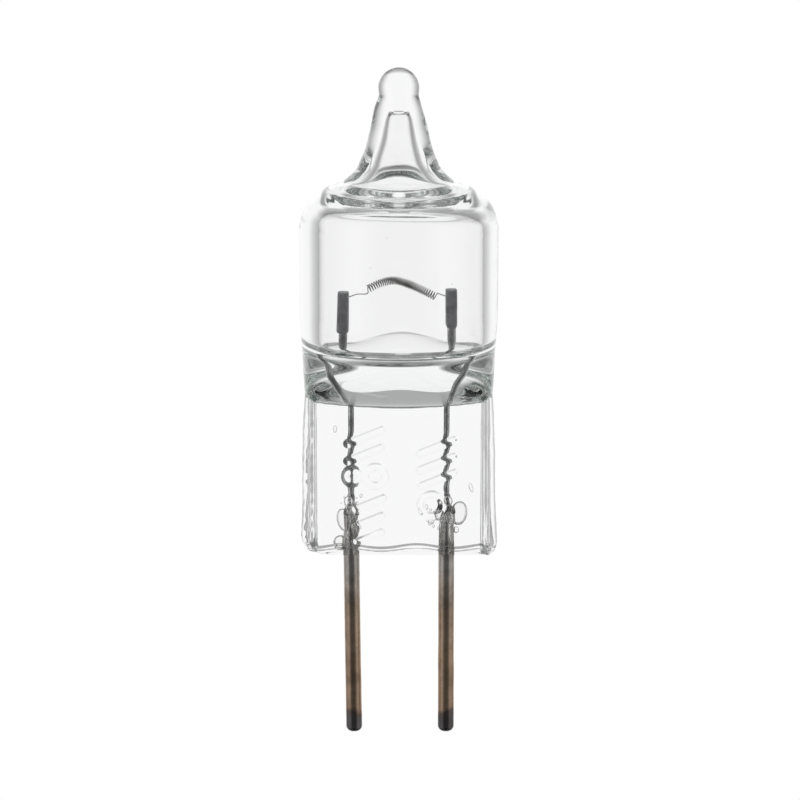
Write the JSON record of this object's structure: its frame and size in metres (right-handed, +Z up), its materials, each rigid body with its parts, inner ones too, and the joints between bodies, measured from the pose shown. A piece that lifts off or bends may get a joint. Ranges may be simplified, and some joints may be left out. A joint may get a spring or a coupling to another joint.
{
  "type": "halogen capsule bulb",
  "caption": "Clear bi-pin halogen capsule bulb: tubular glass vessel with exhaust tip, pressed pinch seal, coiled filament on crimped leads and two straight contact pins.",
  "frame": {"origin": "centre of the flat bottom of the pinch seal, midway between the two contact pins", "axes": "+Z up the bulb's axis to the exhaust tip, +X along the line of the two pins, -Y out of the pinch's broad front face"},
  "size_m": [0.0082, 0.0082, 0.0281],
  "materials": {
    "clear_glass": "clear polished hard glass",
    "tungsten": "bare drawn wire",
    "molybdenum_dark": "dull, darkened by heat",
    "molybdenum": "drawn wire",
    "weld_metal": "dull, rough",
    "pin_metal": "satin, bronze heat tint"
  },
  "bodies": {
    "root": {"glass_envelope": "clear_glass", "filament": "tungsten", "filament_clamp_left": "molybdenum_dark", "filament_clamp_right": "molybdenum_dark", "inner_lead_left": "molybdenum", "inner_lead_right": "molybdenum", "weld_bead_left": "weld_metal", "weld_bead_right": "weld_metal", "contact_pin_left": "pin_metal", "contact_pin_right": "pin_metal"}
  },
  "joints": []
}
